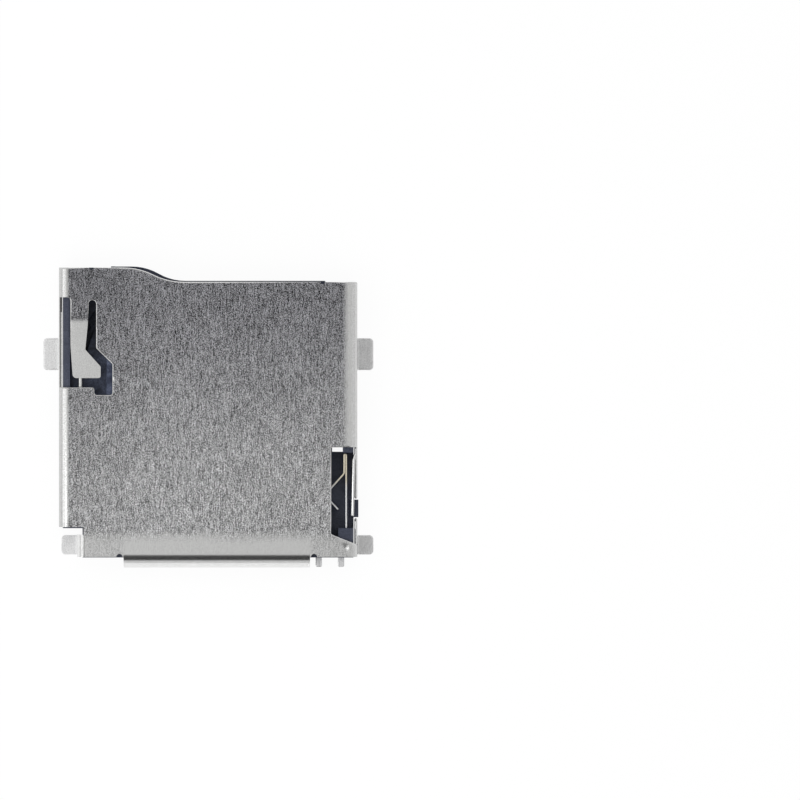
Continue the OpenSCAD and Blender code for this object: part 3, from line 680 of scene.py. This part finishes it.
def lug_colour(colours, x, grain):
    """Colour of the solder lugs: soft grain, and painted light that makes them a little lighter on the slider
    side.
    """
    slider_side, painted_side_light = mm(-6.0, -6.6), (0.94, 1.06)
    grain_shade = (0.80, 1.10)
    return scaled(colours.lug_tin, grain.over(*GRAIN_SPAN, *grain_shade) * x.over(*slider_side, *painted_side_light))


def inside_colour(colours, x, y, low, grain):
    """Colour of faces that look down: dull, painted shade over the slider and in the flap, plated under the
    lugs.
    """
    over_slider, in_flap = mm(-4.5, -4.7), mm(-6.80, -6.90)
    lug_share = 0.86
    grain_shade = (0.75, 1.20)
    # Painted shade over the slider's bay and inside the flap, not under the lugs
    dark = greatest(x.over(*over_slider), y.over(*in_flap)) * (1.0 - low)
    plain = blend(dark, colours.inside, colours.inside_painted_shade)
    plated = tuple(lug_share * part for part in colours.bent_steel)
    return scaled(blend(low, plain, plated), grain.over(*GRAIN_SPAN, *grain_shade))


def corner_dent(x, y):
    """Shallow dent at the rear corner on the switch side: two smooth steps round its middle, multiplied."""
    middle_x, middle_y = mm(6.77, -6.52)
    reach = 0.36 * MM
    return abs(x - middle_x).over(reach, 0.0) * abs(y - middle_y).over(reach, 0.0)


def cover_steel(colours):
    """Tin-plated steel: grained on the plate, smooth where it was bent, with painted highlights on the smooth
    zones, bends and cut edges, a painted gradient of light on the plate and painted shade inside.
    """
    below_plate, lug_z = mm(1.66, 1.62), mm(0.40, 0.20)
    tilt, facing_down = (0.995, 0.80), (-0.2, -0.5)
    grained_roughness, smooth_roughness, lug_roughness = 0.46, 0.21, 0.62
    grain_height, dent_height = 0.15, -10.0
    material, tree, surface = new_finish("cover_steel", metallic=1.0)
    place, x, y, z = place_of(tree)
    normal_z = upward(tree)
    lying = abs(normal_z)
    grain = plate_grain(place)
    mottle = noise(place, (900.0, 900.0, 900.0), detail=3.0, rough=0.6)
    smooth = smooth_and_highlit_zones(x, y, grain, mottle)
    upright = greatest(lying.over(*tilt), z.over(*below_plate))
    low = z.over(*lug_z)
    # Smooth zones take the light bent steel as a painted highlight
    colour = blend(smooth, plate_colour(colours, x, y, grain, mottle), colours.bent_steel)
    # Bends, walls and cut edges take the light edge colour as a painted highlight
    colour = blend(upright, colour, highlit_edge_colour(colours, x, y, z, lying, grain))
    colour = blend(low, colour, lug_colour(colours, x, grain))
    colour = blend(normal_z.over(*facing_down), colour, inside_colour(colours, x, y, low, grain))
    connect(surface.inputs["Base Color"], colour)
    roughness = greatest(smooth, upright).fade(grained_roughness, smooth_roughness)
    connect(surface.inputs["Roughness"], greatest(roughness, low * lug_roughness))
    height = grain * grain_height + corner_dent(x, y) * dent_height
    relief(surface, height, strength=0.25, depth=0.04 * MM)
    return material


def round_marks(x, y, shade):
    """Shade of the two round marks underneath: discs at one distance on both sides of the card's middle."""
    middle_x, aside, mark_y = mm(0.97, 4.0, 3.58)
    disc_edge = mm(0.41, 0.37)
    off_x = abs(x - middle_x) - aside
    off_y = y - mark_y
    squares = off_x * off_x + off_y * off_y
    return squares.maths("SQRT", squares).over(*disc_edge, 1.0, shade)


def moulding(name, ground, marked, under, flow, shine,
             painted_front_shade=1.0, painted_side_gain=1.0, mark_shade=1.0, painted_recess_light=1.0):
    """Glass-filled moulding: mottled, with flow marks and a matte texture; underneath it takes a lighter copy
    of its colour as painted light, and its top can take painted shade at the front and painted light on one
    side.
    """
    mottle_share, flow_share = 0.45, 0.55
    flow_span, speck_span = (0.36, 0.64), (0.35, 0.70)
    speck_shade, under_speck_shade, under_flow_shade = (0.82, 1.45), (0.76, 1.30), (0.88, 1.14)
    front_y, side_x, recess_z = mm(2.8, 3.6), mm(-5.08, -5.02), mm(0.2, 0.5)
    rear_y, rear_shade = mm(-3.5, -6.0), 0.78
    facing_down = (-0.3, -0.6)
    roughness = (0.42, 0.58)
    material, tree, surface = new_finish(name)
    place, x, y, z = place_of(tree)
    mottle = noise(place, (1500.0, 1500.0, 1500.0), detail=4.0, rough=0.6)
    marks = noise(place, flow, detail=3.0, rough=0.55, twist=1.6)
    specks = noise(place, (20000.0, 20000.0, 20000.0), detail=1.0)
    mixed = mottle * mottle_share + marks * flow_share
    # Painted shade towards the front and painted light past x = -5.05 mm; both stay 1 on the base
    shade = y.over(*front_y, 1.0, painted_front_shade) * x.over(*side_x, 1.0, painted_side_gain)
    colour = blend(mixed.over(*flow_span), ground, marked)
    colour = scaled(colour, shade * specks.over(*speck_span, *speck_shade))
    # Underneath: a lighter copy of the colour as painted light, lighter still in recesses
    under_shade = round_marks(x, y, mark_shade) * mixed.over(*flow_span, *under_flow_shade)
    under_shade = under_shade * z.over(*recess_z, 1.0, painted_recess_light) * y.over(*rear_y, 1.0, rear_shade)
    underside = scaled(under, under_shade * specks.over(*speck_span, *under_speck_shade))
    connect(surface.inputs["Base Color"], blend(upward(tree).over(*facing_down), colour, underside))
    surface.inputs["Specular IOR Level"].default_value = shine
    connect(surface.inputs["Roughness"], marks.over(*NOISE_SPAN, *roughness))
    relief(surface, specks, strength=0.25, depth=0.004 * MM)
    return material


def contact_plating(name, tin, beam_tin, tail_to, gold, gold_from, gold_blur, tip_colour, tip_from, tip_to):
    """Plating along Y: tin on the tail, another tin past it, then gold, and a tip colour at the tip; on the
    contacts the second tin is darker as painted shade and the tip is a painted dark reflection.
    """
    tail_blur, edge_wander = mm(0.1, 0.25)
    rolled_shade = (0.86, 1.12)
    roughness = (0.26, 0.40)
    material, tree, surface = new_finish(name, metallic=1.0)
    place, _, y, _ = place_of(tree)
    rolled = noise(place, (16000.0, 2500.0, 16000.0))
    patches = noise(place, (2600.0, 2600.0, 2600.0), detail=3.0, rough=0.6)
    reach = y + (patches - 0.5) * edge_wander
    gilt = reach.over(gold_from - gold_blur, gold_from + gold_blur)
    tinned = blend(y.over(tail_to, tail_to + tail_blur), tin, beam_tin)
    colour = blend(gilt, tinned, blend(reach.over(tip_from, tip_to), gold, tip_colour))
    connect(surface.inputs["Base Color"], scaled(colour, rolled.over(*NOISE_SPAN, *rolled_shade)))
    connect(surface.inputs["Roughness"], patches.over(*NOISE_SPAN, *roughness))
    return material


def drawn_wire(name, bright, roughness):
    """Drawn steel wire with fine scores, from dull and smooth to bright and rough."""
    dull_share = 0.7
    dull = tuple(dull_share * part for part in bright)
    material, tree, surface = new_finish(name, metallic=1.0)
    scores = noise(place_of(tree)[0], (22000.0, 3000.0, 22000.0))
    connect(surface.inputs["Base Color"], blend(scores.over(*NOISE_SPAN), dull, bright))
    connect(surface.inputs["Roughness"], scores.over(*NOISE_SPAN, *roughness))
    return material


# Operators

class CARDSOCKET_OT_cover(bpy.types.Operator):
    """Dresses the folded cover"""
    bl_idname = "card_socket.cover"
    bl_label = "Cover"

    def execute(self, context):
        edges = context.scene.socket_edges
        cover = welded_copy("cover_shell", "cover_sheet", edges.crease)
        round_edges(cover, edges.cover_edge, COVER_TIGHT)
        settle(cover, cover_steel(context.scene.socket_colours), "housing", "cover_steel", "cover_shell")
        return {"FINISHED"}


class CARDSOCKET_OT_base(bpy.types.Operator):
    """Dresses the base moulding"""
    bl_idname = "card_socket.base"
    bl_label = "Base"

    def execute(self, context):
        edges = context.scene.socket_edges
        colours = context.scene.socket_colours
        base = welded_copy("base_housing", "base_body", edges.crease)
        round_edges(base, edges.base_edge, BASE_TIGHT)
        finish = moulding(
            "base_moulding", colours.base, colours.base_dark, colours.base_under_painted_light,
            flow=(500.0, 1400.0, 1000.0), shine=0.35, mark_shade=0.6)
        settle(base, finish, "housing", "base_moulding", "base_housing")
        return {"FINISHED"}


class CARDSOCKET_OT_slider(bpy.types.Operator):
    """Dresses the slider"""
    bl_idname = "card_socket.slider"
    bl_label = "Slider"

    def execute(self, context):
        edges = context.scene.socket_edges
        colours = context.scene.socket_colours
        slider = welded_copy("slider", "slider_body", edges.crease)
        round_edges(slider, edges.slider_edge, {})
        # The slider takes painted shade at its front, and painted light on its side and in its recess
        # underneath
        finish = moulding(
            "slider_moulding", colours.slider, colours.slider_mark, colours.slider_under_painted_light,
            flow=(700.0, 1300.0, 900.0), shine=0.2, painted_front_shade=0.4, painted_side_gain=1.9, painted_recess_light=2.0)
        settle(slider, finish, "slider", "slider_moulding", "slider")
        return {"FINISHED"}


class CARDSOCKET_OT_contacts(bpy.types.Operator):
    """Builds the sprung contacts"""
    bl_idname = "card_socket.contacts"
    bl_label = "Contacts"

    def execute(self, context):
        for node in CONTACTS:
            self.build(node, context.scene.socket_contacts, context.scene.socket_colours)
        return {"FINISHED"}

    def build(self, node, sizes, colours):
        """One contact: a strip along a line in the Y-Z plane, its crest raised by dimple exp(-u^2 - v^2)."""
        spacing = 0.04 * MM
        low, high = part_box(node)
        middle_x = (low[0] + high[0]) / 2
        shift = high[1] - TIP_Y
        root_y = low[1] + sizes.root_run
        crest_y = low[1] + sizes.crest_run + shift
        path = rounded_path(
            [
                *tail_corners(sizes, low[1], sizes.sheet / 2),
                [root_y, sizes.seat],
                [crest_y, sizes.crest],
                [low[1] + sizes.tip_run + shift, sizes.tip],
            ],
            [sizes.bend_radius, sizes.bend_radius, sizes.root_radius, sizes.crest_radius],
        )
        distances, points, ahead = follow(lift(path, (1, 2), middle_x), sizes.tail_corner, spacing)
        width = np.where(points[:, 1] > root_y, sizes.beam, sizes.tail)
        half_width = width / 2 - draw_in(distances, sizes.tail_corner)
        half_sheet = sizes.sheet / 2 - draw_in(distances, sizes.edge)
        rings = strip_rings(points, ahead, RIGHT, half_width, half_sheet, sides=32)
        u = (rings[..., 1] - crest_y) / sizes.dimple_length
        v = (rings[..., 0] - middle_x) / sizes.dimple_width
        rings[..., 2] += sizes.dimple * np.exp(-u ** 2 - v ** 2)
        contact = new_piece(node + "_spring", [skin(rings)])
        # Beams take the darker tin as painted shade, and the tips take the painted dark reflection
        finish = contact_plating(
            node + "_plating", colours.tin, colours.beam_tin, low[1] + sizes.bend_run,
            colours.gold, crest_y - sizes.gold_back, sizes.gold_blur,
            colours.gold_painted_reflection, crest_y - sizes.painted_reflection_back, crest_y + sizes.painted_reflection_ahead)
        settle(contact, finish, "housing", "contact_plating", node)


class CARDSOCKET_OT_switch(bpy.types.Operator):
    """Builds the card switch's strip"""
    bl_idname = "card_socket.switch"
    bl_label = "Switch strip"

    def execute(self, context):
        sizes = context.scene.socket_strip
        contacts = context.scene.socket_contacts
        colours = context.scene.socket_colours
        blade_spacing = 0.02 * MM
        low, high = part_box("detect_contact")
        sheet = sizes.sheet
        half = sheet / 2
        edge = sheet / 4
        strip_x = high[0] - half
        root_y = low[1] + sizes.root_run
        blade = self.blade_path(sizes, strip_x, root_y, high[1])
        blade_z = high[2] - sizes.height / 2
        root = np.array([[strip_x, root_y], [strip_x, root_y + sizes.blade_run]])
        root_height = high[2] - (contacts.seat - half)
        root_z = high[2] - root_height / 2
        last_low, last_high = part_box(CONTACTS[-1])
        pitch = last_low[0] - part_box(CONTACTS[-2])[0][0]
        tail_x = (last_low[0] + last_high[0]) / 2 + pitch
        foot_y = root_y + sizes.foot_run / 2
        foot = np.array([[tail_x - contacts.tail / 2, foot_y], [high[0], foot_y]])
        tail = rounded_path(
            [*tail_corners(contacts, low[1], half), [foot_y, contacts.seat]],
            [contacts.bend_radius, contacts.bend_radius])
        strip = new_piece("switch_strip", [
            flat_strip(lift(blade, (0, 1), blade_z), UP, sizes.height, sheet, edge, spacing=blade_spacing),
            flat_strip(lift(root, (0, 1), root_z), UP, root_height, sheet, edge),
            flat_strip(lift(foot, (0, 1), contacts.seat), FORWARD, sizes.foot_run, sheet, edge),
            flat_strip(lift(tail, (1, 2), tail_x), RIGHT, contacts.tail, sheet, edge, contacts.tail_corner),
        ])
        # The tip colour, here plain gold, starts at the strip's front end, so hardly any of it shows
        finish = contact_plating(
            "switch_plating", colours.tin, colours.tin, root_y,
            colours.strip_gold, root_y + sizes.gold_run, sizes.gold_blur, colours.gold, high[1], high[1] + MM)
        settle(strip, finish, "housing", "contact_plating", "detect_contact")
        return {"FINISHED"}

    def blade_path(self, sizes, strip_x, root_y, front_y):
        """Blade in plan: forward from its root, round a half circle, and back along a bow to its free end."""
        turn = (sizes.sheet + sizes.gap) / 2
        turn_y = front_y - turn - sizes.sheet / 2
        return_x = strip_x - 2 * turn
        swing = np.linspace(0.0, math.pi, num=16)
        hairpin = np.column_stack([strip_x - turn + turn * np.cos(swing), turn_y + turn * np.sin(swing)])
        bow = rounded_path(
            [
                [return_x, turn_y],
                [return_x, root_y + sizes.bow_run],
                [return_x - sizes.bow_out, root_y + sizes.bow_corner_run],
                [return_x - sizes.end_out, root_y + sizes.end_run],
            ],
            [sizes.bow_radius, sizes.bow_radius],
        )
        return np.vstack([[[strip_x, root_y]], hairpin, bow[1:]])


class CARDSOCKET_OT_rod(bpy.types.Operator):
    """Builds the cam rod"""
    bl_idname = "card_socket.rod"
    bl_label = "Cam rod"

    def execute(self, context):
        sizes = context.scene.socket_wires
        spacing = 0.04 * MM
        low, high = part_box("cam_rod")
        radius = sizes.rod / 2
        middle_x = (low[0] + high[0]) / 2
        pivot_y = low[1] + radius
        follower_y = high[1] - radius
        run_z = high[2] - radius
        path = rounded_path(
            [
                [pivot_y, low[2]],
                [pivot_y, run_z],
                [follower_y, run_z],
                [follower_y, low[2] + sizes.rod_leg_step],
            ],
            [sizes.rod_elbow, sizes.rod_elbow],
        )
        distances, points, ahead = follow(lift(path, (1, 2), middle_x), sizes.rod_edge, spacing)
        half = radius - draw_in(distances, sizes.rod_edge)
        # A round section is the superellipse of power 2
        rings = strip_rings(points, ahead, RIGHT, half, half, power=2.0, sides=28)
        rod = new_piece("rod_wire", [skin(rings)])
        # The rod's bright colour is partly painted light
        finish = drawn_wire("rod_steel", context.scene.socket_colours.rod, roughness=(0.36, 0.48))
        settle(rod, finish, "rod", "wire_steel", "cam_rod")
        return {"FINISHED"}


class CARDSOCKET_OT_spring(bpy.types.Operator):
    """Builds the coil spring"""
    bl_idname = "card_socket.spring"
    bl_label = "Coil spring"

    def execute(self, context):
        sizes = context.scene.socket_wires
        low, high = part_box("eject_spring")
        middle_x = (low[0] + high[0]) / 2
        middle_z = (low[2] + high[2]) / 2
        rings = self.coil_rings(sizes, low, high)
        rings[..., 0] += middle_x
        rings[..., 2] += middle_z
        spring = new_piece("spring_wire", [skin(rings)])
        # The spring's dark colour is painted shade of its bay
        finish = drawn_wire("spring_steel", context.scene.socket_colours.spring, roughness=(0.18, 0.28))
        settle(spring, finish, "housing", "wire_steel", "eject_spring")
        travel = next(joint for joint in frame["joints"] if joint["name"] == "slider_travel")
        reach = max(abs(limit) for limit in travel["range_m"])
        1.0 - reach / (high[1] - low[1])
        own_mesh(spring)
        return {"FINISHED"}

    def coil_rings(self, sizes, low, high):
        """Rings of the wire about the Y axis: (coil + r cos s) outward and rise + r sin s along Y."""
        steps_per_turn = 48
        sides = 16
        radius = sizes.spring / 2
        coil = (high[0] - low[0]) / 2 - radius
        run = high[1] - low[1] - sizes.spring
        turns = sizes.rear_turns + sizes.open_turns + sizes.front_turns
        turn_marks = [0, sizes.rear_turns, sizes.rear_turns + sizes.open_turns, turns]
        rear_run = sizes.rear_turns * sizes.close_pitch
        front_run = sizes.front_turns * sizes.close_pitch
        rise_marks = [0.0, rear_run, run - front_run, run]
        turn = np.linspace(0.0, turns, turns * steps_per_turn + 1)
        around = 2 * math.pi * turn
        outward = np.column_stack([np.cos(around), np.zeros_like(turn), -np.sin(around)])
        rise = low[1] + radius + np.interp(turn, turn_marks, rise_marks)
        section = 2 * math.pi * np.arange(sides) / sides
        rings = outward[:, None, :] * (coil + radius * np.cos(section))[:, None]
        rings[..., 1] += rise[:, None] + radius * np.sin(section)
        return rings


class CARDSOCKET_OT_stage(bpy.types.Operator):
    """Sets the camera, the floor and the light"""
    bl_idname = "card_socket.stage"
    bl_label = "Stage"

    def execute(self, context):
        values = context.scene.socket_stage
        self.set_camera(context.scene, values)
        self.set_floor(values)
        self.set_light(context.scene, values)
        self.set_flag(values)
        context.scene.view_settings.view_transform = "Standard"
        return {"FINISHED"}

    def set_camera(self, scene, values):
        """Camera straight above, with a long lens."""
        camera = add_object("camera", bpy.data.cameras.new("camera"))
        camera.data.sensor_width = 36.0
        camera.data.lens = camera.data.sensor_width * values.view_height / values.view_width
        camera.data.clip_start = 0.01
        camera.location = (values.view_x, values.view_y, COVER_HIGH[2] + values.view_height)
        scene.camera = camera

    def add_sheet(self, name, corners, material):
        """Flat sheet with four corners."""
        mesh = bpy.data.meshes.new(name)
        mesh.from_pydata(corners, [], [(0, 1, 2, 3)])
        mesh.materials.append(material)
        return add_object(name, mesh)

    def set_floor(self, values):
        """White floor with a faint shadow, which lets view and light from below through to the underside."""
        half = values.floor_size / 2
        corners = [(-half, -half, 0), (half, -half, 0), (half, half, 0), (-half, half, 0)]
        floor = self.add_sheet("floor", corners, self.floor_white(values))
        floor.location.z = -values.floor_drop

    def floor_white(self, values):
        """Even white with a share of matte grey, clear from behind and close under the socket."""
        material, tree, output = bare_material("floor_white")
        diffuse = tree.nodes.new("ShaderNodeBsdfDiffuse")
        diffuse.inputs["Color"].default_value = (*[values.floor_grey] * 3, 1.0)
        glow = tree.nodes.new("ShaderNodeEmission")
        glow.inputs["Strength"].default_value = values.floor_glow
        clear = tree.nodes.new("ShaderNodeBsdfTransparent")
        rays = tree.nodes.new("ShaderNodeLightPath").outputs
        seen = greatest(*(Signal(rays[f"Is {kind} Ray"]) for kind in ("Camera", "Glossy", "Transmission")))
        way = Signal(rays["Ray Length"])
        close_by = way.maths("LESS_THAN", way, values.floor_reach)
        behind = Signal(tree.nodes.new("ShaderNodeNewGeometry").outputs["Backfacing"])
        even = self.mixed(seen * values.floor_white, diffuse, glow)
        sided = self.mixed(greatest(close_by, behind), even, clear)
        tree.links.new(sided.outputs[0], output.inputs["Surface"])
        return material

    def mixed(self, part, first, second):
        """Shader that goes from the first to the second as part goes from 0 to 1."""
        mix = part.tree.nodes.new("ShaderNodeMixShader")
        for socket, source in zip(mix.inputs, (part, Signal(first.outputs[0]), Signal(second.outputs[0]))):
            connect(socket, source)
        return mix

    def set_light(self, scene, values):
        """Even surroundings and two soft lamps on the slider side."""
        scene.world = bpy.data.worlds.new("surroundings")
        scene.world.use_nodes = True
        tree = scene.world.node_tree
        tree.nodes.clear()
        output = tree.nodes.new("ShaderNodeOutputWorld")
        light = tree.nodes.new("ShaderNodeBackground")
        light.inputs["Strength"].default_value = values.sky
        light.inputs["Color"].default_value = (1.0, 1.0, 1.0, 1.0)
        tree.links.new(light.outputs[0], output.inputs["Surface"])
        place = (-values.lamp_aside, -values.lamp_behind, values.lamp_height)
        self.add_lamp("lamp", values.lamp_power, values.lamp_size, place)
        low_place = (-values.low_lamp_aside, 0.0, values.low_lamp_height)
        self.add_lamp("low_lamp", values.low_lamp_power, values.low_lamp_size, low_place)

    def add_lamp(self, name, power, size, place):
        """Square soft lamp that points at the middle of the socket."""
        lamp = bpy.data.lights.new(name, "AREA")
        lamp.energy = power
        lamp.size = size
        holder = add_object(name, lamp)
        holder.location = place
        across = math.atan2(place[0], place[2])
        along = math.atan2(-place[1], math.hypot(place[0], place[2]))
        holder.rotation_euler = (along, across, 0.0)
        holder.visible_camera = False

    def set_flag(self, values):
        """Dark card behind the flap, which only reflections show."""
        half = values.flag_width / 2
        back = -values.flag_distance
        corners = [
            (-half, back, values.flag_low),
            (half, back, values.flag_low),
            (half, back, values.flag_high),
            (-half, back, values.flag_high),
        ]
        black, _, surface = new_finish("card_black")
        surface.inputs["Base Color"].default_value = (*[values.flag_grey] * 3, 1.0)
        card = self.add_sheet("dark_card", corners, black)
        card.visible_camera = False
        card.visible_shadow = False
        card.visible_diffuse = False


class CARDSOCKET_PT_panel(bpy.types.Panel):
    """Lists the socket's pieces and values"""
    bl_label = "Card Socket"
    bl_idname = "CARDSOCKET_PT_panel"
    bl_space_type = "VIEW_3D"
    bl_region_type = "UI"
    bl_category = "Card Socket"

    def draw(self, context):
        for operator in OPERATORS:
            self.layout.operator(operator.bl_idname)
        for name in GROUPS:
            group = getattr(context.scene, name)
            box = self.layout.box()
            box.label(text=group.__doc__)
            for key in group.__annotations__:
                box.prop(group, key)


OPERATORS = (
    CARDSOCKET_OT_cover,
    CARDSOCKET_OT_base,
    CARDSOCKET_OT_slider,
    CARDSOCKET_OT_contacts,
    CARDSOCKET_OT_switch,
    CARDSOCKET_OT_spring,
    CARDSOCKET_OT_rod,
    CARDSOCKET_OT_stage,
)
GROUPS = {
    "socket_edges": EdgeSizes,
    "socket_contacts": ContactSizes,
    "socket_strip": StripSizes,
    "socket_wires": WireSizes,
    "socket_colours": FinishColours,
    "socket_stage": StageValues,
}


def register():
    """Registers the classes and hangs the property groups on the scene."""
    for group in GROUPS.values():
        bpy.utils.register_class(group)
    for operator in OPERATORS:
        bpy.utils.register_class(operator)
    bpy.utils.register_class(CARDSOCKET_PT_panel)
    for name, group in GROUPS.items():
        setattr(bpy.types.Scene, name, bpy.props.PointerProperty(type=group))


def unregister():
    """Takes back what register added."""
    for name in GROUPS:
        delattr(bpy.types.Scene, name)
    bpy.utils.unregister_class(CARDSOCKET_PT_panel)
    for operator in reversed(OPERATORS):
        bpy.utils.unregister_class(operator)
    for group in reversed(GROUPS.values()):
        bpy.utils.unregister_class(group)


def main():
    """Builds the pieces and the stage."""
    register()
    bpy.ops.card_socket.cover()
    bpy.ops.card_socket.base()
    bpy.ops.card_socket.slider()
    bpy.ops.card_socket.contacts()
    bpy.ops.card_socket.switch()
    bpy.ops.card_socket.spring()
    bpy.ops.card_socket.rod()
    bpy.ops.card_socket.stage()


if __name__ == "__main__":
    main()
